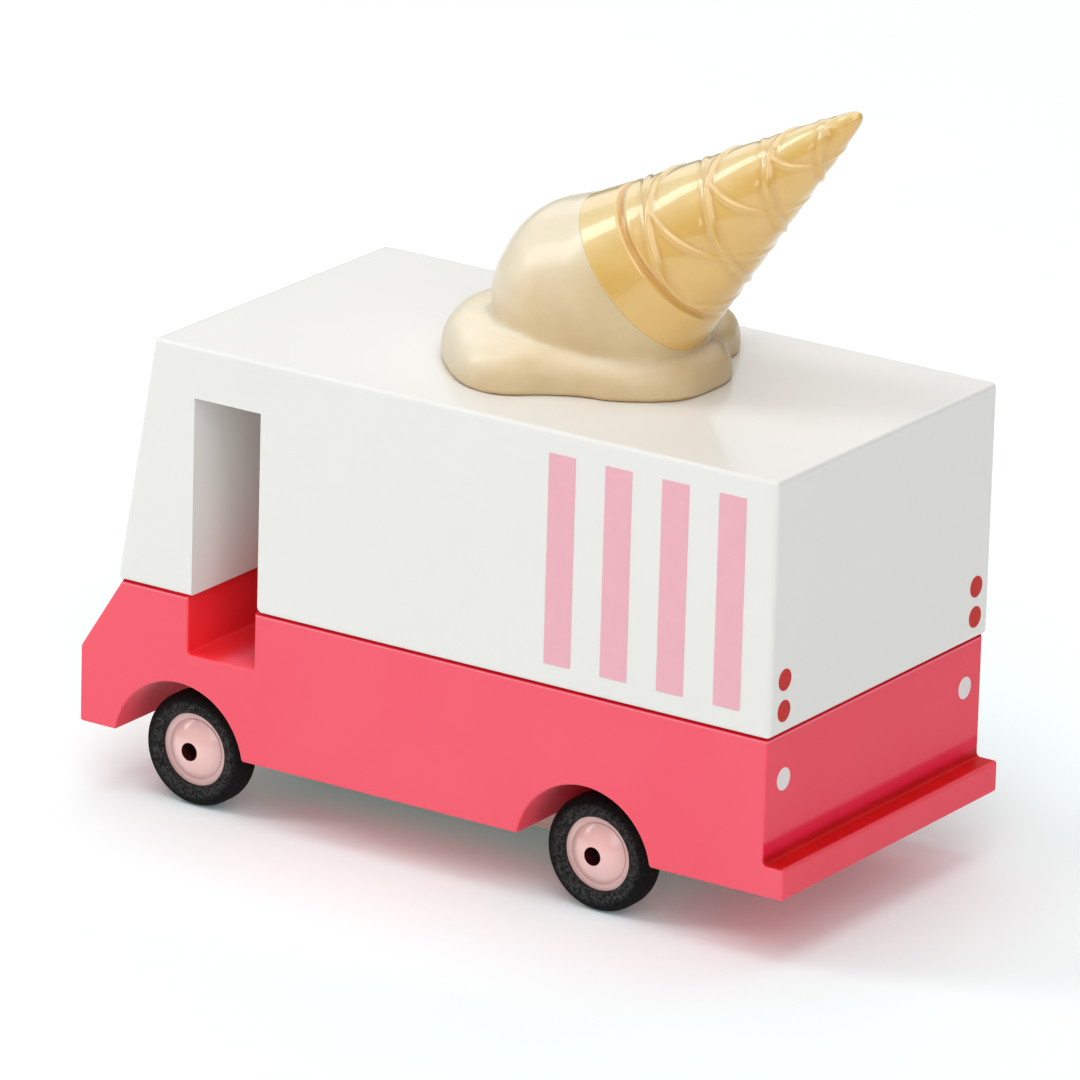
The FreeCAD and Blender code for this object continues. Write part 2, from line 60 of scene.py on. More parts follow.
def add_node(tree, kind, settings=(), **inputs):
    """One node, with its settings and the values of its named inputs."""
    node = tree.nodes.new(kind)
    for key, value in dict(settings).items():
        setattr(node, key, value)
    for key, value in inputs.items():
        node.inputs[key.replace("_", " ")].default_value = value
    return node


def lay_on(tree, shader, colour, **values):
    """Wires the colour into the shader and sets the rest of its values by name."""
    tree.links.new(colour, shader.inputs["Base Color"])
    for key, value in values.items():
        shader.inputs[key.replace("_", " ")].default_value = value


def read_off(tree, reading="Object"):
    """Where a point of the piece lies or, for the reading Normal, which way it looks."""
    return add_node(tree, "ShaderNodeTexCoord").outputs[reading]


def reckon(tree, operation, first, second=None):
    """One step of vector arithmetic on a reading."""
    step = add_node(tree, "ShaderNodeVectorMath", {"operation": operation})
    tree.links.new(first, step.inputs[0])
    if second is not None:
        step.inputs[1].default_value = second
    return step


def cloud(tree, grain, detail=3.0, roughness=0.5):
    """Noise laid through the wood or plastic, with patches of about 1/grain metres."""
    noise = add_node(tree, "ShaderNodeTexNoise", Scale=grain, Detail=detail, Roughness=roughness)
    tree.links.new(read_off(tree), noise.inputs["Vector"])
    return noise.outputs["Fac"]


def shade_between(tree, factor, low, high, start=0.3, stop=0.7):
    """A colour that goes from low to high as the factor rises from start to stop."""
    ramp = add_node(tree, "ShaderNodeValToRGB")
    for element, position, colour in zip(ramp.color_ramp.elements, (start, stop), (low, high)):
        element.position = position
        element.color = (*colour, 1.0)
    tree.links.new(factor, ramp.inputs["Fac"])
    return ramp.outputs["Color"]


def two_tones(tree, factor, inner, outer):
    """One colour passing to another as the factor rises from 0 to 1."""
    blend = add_node(tree, "ShaderNodeMix", {"data_type": "RGBA"})
    tree.links.new(factor, blend.inputs["Factor"])
    tree.links.new(inner, blend.inputs["A"])
    tree.links.new(outer, blend.inputs["B"])
    return blend.outputs["Result"]


def rising(tree, value, start, stop):
    """0 up to the start value, 1 from the stop value, and a soft step between."""
    rise = add_node(tree, "ShaderNodeMapRange", {"interpolation_type": "SMOOTHSTEP"},
                    From_Min=start, From_Max=stop)
    tree.links.new(value, rise.inputs["Value"])
    return rise.outputs["Result"]


def height_of(tree):
    """The height of a point of the piece above the ground, in metres."""
    split = add_node(tree, "ShaderNodeSeparateXYZ")
    tree.links.new(read_off(tree), split.inputs["Vector"])
    return split.outputs["Z"]


def above_level(tree, start, stop):
    """0 up to one height of the truck, rising to 1 at another."""
    return rising(tree, height_of(tree), start, stop)


def off_line(tree, middle, near, far):
    """0 near a line that runs straight across the truck through the middle, 1 far from it."""
    offset = reckon(tree, "SUBTRACT", read_off(tree), middle)
    in_profile = reckon(tree, "MULTIPLY", offset.outputs["Vector"], (1.0, 0.0, 1.0))
    return rising(tree, reckon(tree, "LENGTH", in_profile.outputs["Vector"]).outputs["Value"], near, far)


def facing(tree, direction):
    """1 where the surface looks along a direction, 0 where it lies along it, -1 facing back."""
    return reckon(tree, "DOT_PRODUCT", read_off(tree, "Normal"), direction).outputs["Value"]


def square_to(tree, direction):
    """1 on surfaces that look along a direction or back along it, 0 on the others."""
    either_way = add_node(tree, "ShaderNodeMath", {"operation": "ABSOLUTE"})
    tree.links.new(facing(tree, direction), either_way.inputs[0])
    return rising(tree, either_way.outputs["Value"], start=0.5, stop=0.85)


def raise_surface(tree, shader, factor, depth, strength=1.0, under=None):
    """Relief of the given depth in metres, on top of another relief if there is one."""
    bump = add_node(tree, "ShaderNodeBump", Strength=strength, Distance=depth)
    tree.links.new(factor, bump.inputs["Height"])
    if under is not None:
        tree.links.new(under, bump.inputs["Normal"])
    tree.links.new(bump.outputs["Normal"], shader.inputs["Normal"])
    return bump.outputs["Normal"]


def sprayed_enamel(name, low, high):
    """Enamel sprayed on sanded wood: a faint drift in tone and a fine orange peel."""
    finish, tree, shader = new_finish(name)
    peel = raise_surface(tree, shader, cloud(tree, 700.0, detail=2.0), depth=0.00001, strength=0.35)
    raise_surface(tree, shader, cloud(tree, 90.0, detail=1.0), depth=0.00006, strength=0.3, under=peel)
    return finish, tree, shader, shade_between(tree, cloud(tree, 60.0), low, high)


def paint_node(name, finish):
    """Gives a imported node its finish."""
    for place in nodes[name].material_slots:
        place.material = finish


pink_enamel, tree, shader, tone = sprayed_enamel(
    "pink_enamel", (0.988, 0.122, 0.172), (0.996, 0.134, 0.186))
# Painted shade: the faces that look forwards and back get a deeper pink than the sides.
painted_end_shade = shade_between(tree, cloud(tree, 60.0), (0.975, 0.086, 0.128), (0.985, 0.096, 0.140))
# A painted highlight for the rounded top edge of the base, just below the joint.
painted_edge_highlight = shade_between(tree, cloud(tree, 900.0), (0.990, 0.235, 0.300), (0.995, 0.260, 0.325))
mottle = cloud(tree, 300.0)
# Deep reds for the painted shade in the joint's groove and in the cut corners.
crimson = shade_between(tree, mottle, (0.90, 0.012, 0.056), (0.94, 0.017, 0.068))
deep_red = shade_between(tree, mottle, (0.60, 0.008, 0.009), (0.68, 0.011, 0.013))
scarlet = shade_between(tree, mottle, (0.975, 0.030, 0.042), (0.985, 0.040, 0.054))
# Painted highlight and painted shade, in bands just below the joint.
JOINT_HIGHLIGHT_AND_SHADE = (
    # where the band starts and where it is full, in metres below the joint, and its colour
    (0.00060, 0.00040, painted_edge_highlight),
    (0.00036, 0.00026, crimson),
    (0.00026, 0.00014, deep_red),
)
# Painted shade, deepened with the colour of pink light bounced between pink faces, in the cut corners of
# the rear step and the cab floor; it stays off the faces that look sideways.
PAINTED_SHADE_CORNERS = (
    # middle of the painted shade in metres, the distances over which it thins out, its colour
    ((-0.0447, 0.0, 0.0117), 0.0021, 0.0029, crimson),
    ((-0.0461, 0.0, 0.0117), 0.0010, 0.0017, deep_red),
    ((0.0327, 0.0, 0.0225), 0.0042, 0.0066, scarlet),
)
# Painted shade on the faces that look forwards and back.
tone = two_tones(tree, square_to(tree, (1.0, 0.0, 0.0)), tone, painted_end_shade)
joint_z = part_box("body_block")[0].z
# paints the highlight and shade bands below the joint
for start, full, band in JOINT_HIGHLIGHT_AND_SHADE:
    tone = two_tones(tree, above_level(tree, joint_z - start, joint_z - full), tone, band)
outside = square_to(tree, (0.0, 1.0, 0.0))
# paints the shade into each corner
for middle, near, far, painted_shade in PAINTED_SHADE_CORNERS:
    thin = add_node(tree, "ShaderNodeMath", {"operation": "MAXIMUM"})
    tree.links.new(off_line(tree, middle, near, far), thin.inputs[0])
    tree.links.new(outside, thin.inputs[1])
    tone = two_tones(tree, thin.outputs["Value"], painted_shade, tone)
lay_on(tree, shader, tone, Roughness=0.42, Specular_IOR_Level=0.10, Coat_Weight=0.02, Coat_Roughness=0.3)
paint_node("base_block", pink_enamel)

# ---------------------------------------------------------------------------
# White body block: a second piece of hardwood with the cab doorway cut through
# it, lacquered in a warm glossy white and glued down on the base, with a thin
# line of painted shade along the foot of it at the joint.

white_lacquer, tree, shader, tone = sprayed_enamel(
    "white_lacquer", (0.872, 0.865, 0.833), (0.884, 0.877, 0.845))
# Painted shade: a thin dark red line along the foot of the block, where the joint's groove lies in
# shade.
painted_seam_shade = shade_between(tree, cloud(tree, 300.0), (0.60, 0.020, 0.020), (0.70, 0.030, 0.030))
SEAM_SHADE_FULL, SEAM_SHADE_ENDS = 0.00010, 0.00020  # metres above the joint
tone = two_tones(tree, above_level(tree, joint_z + SEAM_SHADE_FULL, joint_z + SEAM_SHADE_ENDS), painted_seam_shade, tone)
lay_on(tree, shader, tone, Roughness=0.25, Specular_IOR_Level=0.3, Coat_Weight=0.4, Coat_Roughness=0.08)
paint_node("body_block", white_lacquer)

# ---------------------------------------------------------------------------
# Printed marks: serving-hatch stripes, lamps and windscreen, pad printed in
# ink that stands a hair proud of the lacquer.


def printing_ink(name, low, high):
    """Pad-printing ink: flat colour with the faint mottle of a thin film."""
    finish, tree, shader = new_finish(name)
    lay_on(tree, shader, shade_between(tree, cloud(tree, 500.0), low, high),
           Roughness=0.45, Specular_IOR_Level=0.2)
    raise_surface(tree, shader, cloud(tree, 2500.0, detail=2.0), depth=0.000008, strength=0.4)
    return finish


pale_pink_ink = printing_ink("pale_pink_ink", (0.89, 0.465, 0.530), (0.92, 0.490, 0.555))
red_ink = printing_ink("red_ink", (0.60, 0.012, 0.008), (0.64, 0.016, 0.011))
white_ink = printing_ink("white_ink", (0.87, 0.80, 0.81), (0.90, 0.83, 0.84))
brown_ink = printing_ink("brown_ink", (0.120, 0.052, 0.036), (0.145, 0.064, 0.045))
for mark, ink in (
    ("side_stripes", pale_pink_ink),
    ("tail_lamps", red_ink),
    ("reversing_lamps", white_ink),
    ("headlamps", white_ink),
    ("windscreen_panes", brown_ink),
):
    paint_node(mark, ink)

# ---------------------------------------------------------------------------
# Underside rail: a plain strip of beech, left bare, that carries both axles
# and is screwed to the underside of the base block.

bare_beech, tree, shader = new_finish("bare_beech")
along = add_node(tree, "ShaderNodeMapping", Scale=(0.06, 1.0, 1.0))
tree.links.new(read_off(tree), along.inputs["Vector"])
grain = add_node(tree, "ShaderNodeTexNoise", Scale=900.0, Detail=4.0, Roughness=0.6)
tree.links.new(along.outputs["Vector"], grain.inputs["Vector"])
tone = shade_between(tree, grain.outputs["Fac"], (0.50, 0.42, 0.34), (0.66, 0.58, 0.49))
lay_on(tree, shader, tone, Roughness=0.7)
raise_surface(tree, shader, grain.outputs["Fac"], depth=0.00005, strength=0.5)
paint_node("underside_rail", bare_beech)

# ---------------------------------------------------------------------------
# Wheels: steel pins through the rail, domed pink plastic hubs pushed on their
# ends, and charcoal foam-rubber tyres stretched over the hubs.

HUB_HOLE_EDGE = (0.00106, 0.00112)  # metres from the wheel's middle, inner and outer
TREAD_EDGE = (0.0053, 0.0061)


def bare_metal(name, low, high, roughness, patches, marks, depth):
    """Bright metal: patches a little lighter and darker, and the fine marks of its making."""
    finish, tree, shader = new_finish(name)
    lay_on(tree, shader, shade_between(tree, cloud(tree, patches), low, high),
           Metallic=1.0, Roughness=roughness)
    raise_surface(tree, shader, cloud(tree, marks), depth=depth, strength=0.5)
    return finish


def moulded_hub(name, middle):
    """Pink plastic, glossy outside, with painted shade darkening the hole in its middle."""
    finish, tree, shader = new_finish(name)
    # Painted shade: the hole in the hub is coloured near black.
    painted_bore_shade = shade_between(tree, cloud(tree, 900.0), (0.030, 0.004, 0.004), (0.090, 0.012, 0.012))
    tone = shade_between(tree, cloud(tree, 120.0), (0.98, 0.60, 0.565), (0.99, 0.64, 0.605))
    lay_on(tree, shader, two_tones(tree, off_line(tree, middle, *HUB_HOLE_EDGE), painted_bore_shade, tone),
           Roughness=0.22, Coat_Weight=0.5, Coat_Roughness=0.06)
    raise_surface(tree, shader, cloud(tree, 600.0, detail=1.0), depth=0.00002, strength=0.3)
    return finish


def foam_tyre(name, middle):
    """Charcoal foam rubber, scuffed grey on its walls, with painted shade making the tread blacker."""
    finish, tree, shader = new_finish(name)
    speckle = cloud(tree, 3200.0, detail=5.0, roughness=0.8)
    wall = shade_between(tree, speckle, (0.005, 0.005, 0.005), (0.078, 0.076, 0.075), 0.42, 0.66)
    # Painted shade: the tread is coloured near black.
    tread = shade_between(tree, speckle, (0.002, 0.002, 0.002), (0.014, 0.014, 0.014), 0.4, 0.66)
    lay_on(tree, shader, two_tones(tree, off_line(tree, middle, *TREAD_EDGE), wall, tread),
           Roughness=0.85, Specular_IOR_Level=0.15)
    raise_surface(tree, shader, speckle, depth=0.0001, strength=0.6)
    return finish


pin_steel = bare_metal("pin_steel", (0.46, 0.46, 0.48), (0.60, 0.60, 0.62),
                       roughness=0.35, patches=1500.0, marks=4000.0, depth=0.000005)
for end in ("front", "rear"):
    low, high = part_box(f"{end}_left_tyre")
    middle = (low + high) / 2
    hub_plastic = moulded_hub(f"{end}_hub_plastic", middle)
    tyre_foam = foam_tyre(f"{end}_tyre_foam", middle)
    paint_node(f"{end}_axle", pin_steel)
    for side in ("left", "right"):
        paint_node(f"{end}_{side}_hub", hub_plastic)
        paint_node(f"{end}_{side}_tyre", tyre_foam)

# ---------------------------------------------------------------------------
# Rail screws: two zinc plated wood screws with raised heads and a cross recess,
# driven up through the rail into the base block until the rims meet the wood.

zinc_plate = bare_metal("zinc_plate", (0.52, 0.51, 0.46), (0.68, 0.67, 0.61),
                        roughness=0.38, patches=1800.0, marks=3500.0, depth=0.000006)
HEAD_SECTION = (
    # radius in mm, how far it stands out of the rail's face in mm
    (0.0, -0.8), (1.1, -0.8), (1.62, -0.02), (1.66, 0.02), (1.62, 0.08), (1.3, 0.2), (0.8, 0.29),
    (0.4, 0.32), (0.0, 0.33),
)
RECESS_LENGTH, RECESS_WIDTH = 1.9, 0.5  # mm, each arm of the cross
RECESS_FLOOR = 0.03  # mm out of the rail's face
CUTTER_HEIGHT = 1.0  # mm, from the floor of the recess out past the top of the head
RAIL_SCREWS = (
    # name, metres along the truck, degrees that its recess is turned
    ("rail_screw_1", -0.009, 20.0),
    ("rail_screw_2", 0.021, 65.0),
)


def mesh_of(shape, name):
    """A shape in the making, turned into a mesh."""
    mesh = bpy.data.meshes.new(name)
    shape.to_mesh(mesh)
    shape.free()
    return mesh


def bring_in(name, mesh):
    """A piece made from a mesh and put in the scene."""
    piece = bpy.data.objects.new(name, mesh)
    bpy.context.scene.collection.objects.link(piece)
    return piece


def work_in(piece):
    """Works the piece's modifiers into its mesh, and gives that mesh."""
    bpy.context.view_layer.update()
    worked = piece.evaluated_get(bpy.context.evaluated_depsgraph_get())
    mesh = bpy.data.meshes.new_from_object(worked)
    piece.modifiers.clear()
    piece.data = mesh
    return mesh


def finish_mesh(mesh, finish):
    """Gives a mesh its one finish."""
    mesh.materials.clear()
    mesh.materials.append(finish)


def put_in_order(mesh):
    """The same mesh with its points and faces in a fixed order, which a cut leaves to chance."""
    sorted_out = bmesh.new()
    sorted_out.from_mesh(mesh)
    for parts, place in ((sorted_out.verts, lambda vertex: vertex.co),
                         (sorted_out.faces, lambda face: face.calc_center_median())):
        in_order = sorted(parts, key=lambda part: [round(step, 8) for step in place(part)])
        for number, part in enumerate(in_order):
            part.index = number
        parts.sort()
    return mesh_of(sorted_out, "screw_head")


def screw_head():
    """A countersunk head as a turned solid, with its cross recess cut out of the face."""
    head = bmesh.new()
    section = [head.verts.new((r / 1000, 0.0, -z / 1000)) for r, z in HEAD_SECTION]
    for low, high in zip(section, section[1:]):
        head.edges.new((low, high))
    bmesh.ops.spin(head, geom=list(head.verts) + list(head.edges), cent=(0, 0, 0), axis=(0, 0, 1),
                   dvec=(0, 0, 0), angle=2 * math.pi, steps=64, use_duplicate=False)
    bmesh.ops.remove_doubles(head, verts=list(head.verts), dist=1e-7)
    bmesh.ops.recalc_face_normals(head, faces=list(head.faces))
    blank = bring_in("screw_head", mesh_of(head, "screw_head"))
    cutter = bmesh.new()
    for turned in (0.0, 90.0):
        arm = (Matrix.Rotation(math.radians(turned), 4, "Z")
               @ Matrix.Translation((0.0, 0.0, -RECESS_FLOOR / 1000 - CUTTER_HEIGHT / 2000))
               @ Matrix.Diagonal((RECESS_LENGTH / 1000, RECESS_WIDTH / 1000, CUTTER_HEIGHT / 1000, 1.0)))
        bmesh.ops.create_cube(cutter, size=1.0, matrix=arm)
    cross = bring_in("cross_recess", mesh_of(cutter, "cross_recess"))
    cut = blank.modifiers.new("cut", "BOOLEAN")
    cut.operation = "DIFFERENCE"
    cut.solver = "EXACT"
    cut.use_self = True  # the two arms of the recess overlap
    cut.object = cross
    finished = work_in(blank)
    for used_up in (blank, cross):
        bpy.data.objects.remove(used_up)
    return put_in_order(finished)


head_mesh = screw_head()
finish_mesh(head_mesh, zinc_plate)
rail_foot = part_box("underside_rail")[0].z
for name, along_truck, turned in RAIL_SCREWS:
    screw = bring_in(name, head_mesh.copy())
    screw.location = (along_truck, 0.0, rail_foot)
    screw.rotation_euler = (0.0, 0.0, math.radians(turned))
    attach(screw, "truck")

# ---------------------------------------------------------------------------
# Dropped ice cream: one casting in cream resin, a scoop that has landed on its
# cone's mouth and run out in thick round lobes over the roof.

BALL_MIDDLE = Vector((-0.00584, 0.0, 0.0648))  # metres from the middle of the truck's foot
BALL_RADIUS = 0.0106
SAG_MIDDLE = Vector((-0.0053, 0.00036, 0.0636))
RIM_MIDDLE = Vector((-0.01269, 0.0, 0.06799))
CONE_SWING, CONE_LEAN = 10.3, 49.2  # degrees round from straight back, degrees from upright
cone_turn = (Matrix.Rotation(math.radians(CONE_SWING), 3, "Z")
             @ Matrix.Rotation(math.radians(-CONE_LEAN), 3, "Y"))
cone_axis = cone_turn @ Vector((0.0, 0.0, 1.0))
SWELL_BELOW_RIM = 0.0022
swell_middle = RIM_MIDDLE - cone_axis * SWELL_BELOW_RIM
SWELL_STEPS = 4  # from the ball to the swell under the cone's mouth
PUDDLE_EDGE = (
    # degrees round from straight ahead, reach in mm from under the middle of the ball
    (-8, 18.3), (20, 17.1), (45, 16.5), (68, 17.1), (85, 16.4), (101, 13.6), (118, 12.9),
    (137, 14.6), (163, 16.7), (195, 16.6), (218, 15.4), (231, 17.6), (247, 19.8),
    (262, 18.7), (290, 16.6), (325, 17.4),
)
EDGE_STEPS = 9
PUDDLE_PROFILE = (
    # how far in from the edge in mm, how high in parts of the puddle's thickness
    (0.2, 0.0), (0.05, 0.07), (0.0, 0.2), (0.1, 0.4), (0.45, 0.6), (1.15, 0.77),
    (2.2, 0.89), (3.6, 0.96), (5.4, 1.0),
)
PUDDLE_THICKNESS = 0.0051  # metres, under the middle of the ball
PUDDLE_SLOPE = 0.035  # thicker towards the nose
roof_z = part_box("body_block")[1].z
FOOT_HELD = 0.0004  # metres above the roof, below which the cream keeps its outline
VARNISH_FULL, VARNISH_ENDS = 0.00015, 0.0006  # metres above the roof
DULL_BELOW, BUFFED_ABOVE = 0.0045, 0.0085
PAINTED_LIGHT_FROM = (0.60, 0.20, 0.77)  # up, ahead and a little to the left, towards the key light


def painted_light_from_above(tree, shaded_tone, lit_tone):
    """Painted light and shade: the shaded tone, passing to the lit tone where the surface looks up and
    ahead, towards the key light.
    """
    painted_light = rising(tree, facing(tree, PAINTED_LIGHT_FROM), start=0.15, stop=0.95)
    return two_tones(tree, painted_light, shaded_tone, lit_tone)


def run_through(points, steps):
    """A smooth closed line through the given points, with this many steps between each two."""
    line = []
    for number in range(len(points)):
        before, start, stop, after = (points[(number + k) % len(points)] for k in (-1, 0, 1, 2))
        for step in range(steps):
            t = step / steps
            line.append(0.5 * (2 * start + (stop - before) * t
                               + (2 * before - 5 * start + 4 * stop - after) * t**2
                               + (3 * start - before - 3 * stop + after) * t**3))
    return line


def ball_of(cream, middle):
    """A closed ball added to a lump of cream."""
    bmesh.ops.create_icosphere(cream, subdivisions=6, radius=BALL_RADIUS,
                               matrix=Matrix.Translation(middle))


def band_of_faces(shape, low, high):
    """Faces between two rings of the same number of points."""
    for number in range(len(low)):
        after = (number + 1) % len(low)
        shape.faces.new((low[number], low[after], high[after], high[number]))


edge_points = [Vector((math.cos(math.radians(a)), math.sin(math.radians(a)), 0.0)) * reach / 1000
               for a, reach in PUDDLE_EDGE]
shore = run_through(edge_points, EDGE_STEPS)
cream = bmesh.new()
rings = []
for inset, height in PUDDLE_PROFILE:
    ring = []
    for point in shore:
        across = point * (1.0 - inset / 1000 / point.length)
        top = PUDDLE_THICKNESS + PUDDLE_SLOPE * across.x
        ring.append(cream.verts.new((BALL_MIDDLE.x + across.x, across.y, roof_z + height * top)))
    rings.append(ring)
for low, high in zip(rings, rings[1:]):
    band_of_faces(cream, low, high)
cream.faces.new(list(reversed(rings[0])))
cream.faces.new(rings[-1])
ball_of(cream, SAG_MIDDLE)
for part in range(SWELL_STEPS + 1):
    ball_of(cream, BALL_MIDDLE.lerp(swell_middle, part / SWELL_STEPS))
casting = bring_in("scoop_and_puddle", mesh_of(cream, "lump_of_cream"))
join = casting.modifiers.new("join", "REMESH")
join.mode = "VOXEL"
join.voxel_size = 0.00038
joined = work_in(casting)
soft = casting.vertex_groups.new(name="soft")
soft.add([v.index for v in joined.vertices if v.co.z > roof_z + FOOT_HELD], 1.0, "REPLACE")
melt = casting.modifiers.new("melt", "SMOOTH")
melt.factor = 0.5
melt.iterations = 24
melt.vertex_group = "soft"
melted = work_in(casting)
for vertex in melted.vertices:
    vertex.co.z = max(vertex.co.z, roof_z)
for face in melted.polygons:
    face.use_smooth = True

cream_resin, tree, shader = new_finish("cream_resin")
mottle = cloud(tree, 260.0, detail=5.0, roughness=0.6)
# The cream's own colour in a shaded and a lit tone, for painted light and shade.
shaded_tone = shade_between(tree, mottle, (0.725, 0.545, 0.300), (0.785, 0.615, 0.370))
lit_tone = shade_between(tree, mottle, (0.88, 0.785, 0.585), (0.92, 0.835, 0.655))
varnish = shade_between(tree, cloud(tree, 300.0), (0.62, 0.36, 0.12), (0.82, 0.62, 0.34))
tone = two_tones(tree, above_level(tree, roof_z + VARNISH_FULL, roof_z + VARNISH_ENDS),
                 varnish, painted_light_from_above(tree, shaded_tone, lit_tone))
lay_on(tree, shader, tone, Roughness=0.42, Specular_IOR_Level=0.3, Coat_Weight=0.45, Coat_IOR=1.5,
       Subsurface_Weight=0.15, Subsurface_Radius=(0.002, 0.0012, 0.0006), Subsurface_Scale=1.0)
buffed = add_node(tree, "ShaderNodeMapRange", From_Min=roof_z + DULL_BELOW,
                  From_Max=roof_z + BUFFED_ABOVE, To_Min=0.3, To_Max=0.14)
tree.links.new(height_of(tree), buffed.inputs["Value"])
tree.links.new(buffed.outputs["Result"], shader.inputs["Coat Roughness"])
raise_surface(tree, shader, cloud(tree, 250.0, detail=2.0), depth=0.0001, strength=0.14)
finish_mesh(melted, cream_resin)
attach(casting, "truck")
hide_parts("ice_cream")

# ---------------------------------------------------------------------------
# Wafer cone: a hollow-looking cone in tan resin, cast solid, with the collar
# and the crossing ribs of a waffle cone, glued on the scoop.

CONE_SECTION = (
    # mm from the rim along the axis, radius in mm
    (0.0, 9.6), (0.0, 10.2), (0.08, 10.38), (0.25, 10.44), (4.3, 9.18), (4.5, 9.08), (4.66, 8.72),
    (4.8, 8.5), (5.0, 8.52), (5.3, 8.7), (5.6, 8.68), (30.95, 1.36), (31.9, 1.06), (32.5, 0.82),
    (32.9, 0.56), (33.15, 0.28), (33.25, 0.0),
)
ROWS = (
    # from and to, in mm from the rim, and the number of rows, close together where it bends
    (0.0, 0.4, 9), (0.4, 4.2, 13), (4.2, 5.6, 25), (5.6, 32.0, 190), (32.0, 33.25, 18),
)
COLUMNS = 288
GROOVE = (4.5, 5.6)  # mm from the rim, where it begins and ends
GROOVE_FLOOR = 4.8
GROOVE_SHADE_REACH = 0.2  # mm each way from the floor of the groove
DEEP_SIDE = 30.0  # degrees round to where the groove is deepest, and it runs out opposite
section = np.array(CONE_SECTION)
rows = np.concatenate([np.linspace(start, stop, count)[:-1] for start, stop, count in ROWS])
turn = np.linspace(0.0, 360.0, COLUMNS, endpoint=False)
along, round_by = np.meshgrid(rows, turn, indexing="ij")
radius = np.interp(along, section[:, 0], section[:, 1])
towards_deep = np.cos(np.radians(round_by - DEEP_SIDE))
run_out = np.clip((-towards_deep - 0.5) / 0.4, 0.0, 1.0)
closed = np.interp(along, GROOVE, np.interp(GROOVE, section[:, 0], section[:, 1]))
in_groove = (along > GROOVE[0]) & (along < GROOVE[1])
radius = np.where(in_groove, radius + run_out * (closed - radius), radius)
radius[0, :] = section[0, 1]

RIB_PITCH = 14.3  # mm along the axis for one turn
RIB_DATUM = 3.6  # mm from the rim, where each rib's start is measured
WRAP_START, WRAP_FADE_IN = 5.2, 0.5  # mm from the rim, and mm along to the full height
WRAP_END, WRAP_FADE_OUT = 31.2, 2.0
HOLLOW_DEPTH = 0.03  # mm, along the foot of each rib
PILLOW_HEIGHT = 0.16  # mm, in the middle of each panel of wafer
# Strength of the painted shade along the feet of the ribs and in the groove.
SHADE_IN_HOLLOW, SHADE_IN_GROOVE = 0.22, 0.7
left_drift = np.interp(along, (6.0, 15.0, 20.0, 24.0, 29.0), (-3.0, 0.0, 5.0, 12.0, 8.0))
right_drift = -10.0 + 20.0 * np.cos(np.radians(2.0 * (round_by - 72.0)))
RIB_PAIRS = (
    # start in degrees, hand, drift from a true helix, height in mm, half width in mm
    (-17.5, -1, left_drift, 0.27, 0.35),
    (-66.5, 1, right_drift, 0.17, 0.31),
)
cone_slope = math.atan(0.294)


def near_rib(start, hand, drift):
    """How far each point of the cone lies from the nearest of two opposite ribs, in mm, and
    how far it is across the wafer between them, from 0 to 1."""
    phase = (round_by - start - drift - hand * 360.0 * (along - RIB_DATUM) / RIB_PITCH) / 180.0 % 1.0
    lean = radius * 2 * math.pi / RIB_PITCH * math.cos(cone_slope)
    apart = np.minimum(phase, 1.0 - phase) * math.pi * radius / np.sqrt(1.0 + lean**2)
    return apart, phase


def hump(distance, half_width):
    """A round rise, 1 at no distance and falling away over its half width."""
    return np.exp(-((distance / half_width) ** 2))


relief = np.zeros_like(radius)
hollow = np.zeros_like(radius)
pillow = np.ones_like(radius)
tallest_rib = max(height for *_, height, _ in RIB_PAIRS)
for start, hand, drift, height, half_width in RIB_PAIRS:
    apart, phase = near_rib(start, hand, drift)
    relief = np.maximum(relief, height * hump(apart, half_width))
    foot = hump(apart - 2.0 * half_width, 1.1 * half_width)
    hollow = np.maximum(hollow, foot * height / tallest_rib)
    pillow *= np.sin(math.pi * phase)
wrapped = (np.clip((along - WRAP_START) / WRAP_FADE_IN, 0.0, 1.0)
           * np.clip((WRAP_END - along) / WRAP_FADE_OUT, 0.0, 1.0))
relief = wrapped * (relief - HOLLOW_DEPTH * hollow + PILLOW_HEIGHT * pillow)
# Painted shade in the collar's groove and along the feet of the ribs, stored on each point.
groove = hump(along - GROOVE_FLOOR, GROOVE_SHADE_REACH)
groove *= (0.75 + 0.25 * towards_deep) * (1.0 - run_out)
painted_shade_depth = np.clip(SHADE_IN_HOLLOW * wrapped * hollow + SHADE_IN_GROOVE * groove, 0.0, 1.0)
out = radius + relief * math.cos(cone_slope)
up = along + relief * math.sin(cone_slope)
points = np.stack((out * np.cos(np.radians(round_by)), out * np.sin(np.radians(round_by)), up), -1)
cone = bmesh.new()
painted_shade_layer = cone.verts.layers.float.new("painted_hollow_shade")
rings = []
for row in range(len(rows)):
    ring = []
    for column in range(COLUMNS):
        vertex = cone.verts.new(RIM_MIDDLE + cone_turn @ Vector(points[row, column] / 1000))
        vertex[painted_shade_layer] = painted_shade_depth[row, column]
        ring.append(vertex)
    rings.append(ring)
for low, high in zip(rings, rings[1:]):
    band_of_faces(cone, low, high)
tip = cone.verts.new(RIM_MIDDLE + cone_axis * section[-1, 0] / 1000)
for number in range(COLUMNS):
    cone.faces.new((rings[-1][number], rings[-1][(number + 1) % COLUMNS], tip))
cone.faces.new(list(reversed(rings[0])))
for face in cone.faces:
    face.smooth = len(face.verts) < 5  # the mouth stays flat
wafer = mesh_of(cone, "wrapped_wafer")
wrapped_cone = bring_in("wrapped_cone", wafer)

wafer_resin, tree, shader = new_finish("wafer_resin")
mottle = cloud(tree, 260.0)
# The wafer's own colour in a shaded and a lit tone, for painted light and shade.
shaded_tone = shade_between(tree, mottle, (0.78, 0.475, 0.122), (0.84, 0.535, 0.158))
lit_tone = shade_between(tree, mottle, (0.88, 0.68, 0.33), (0.93, 0.74, 0.39))
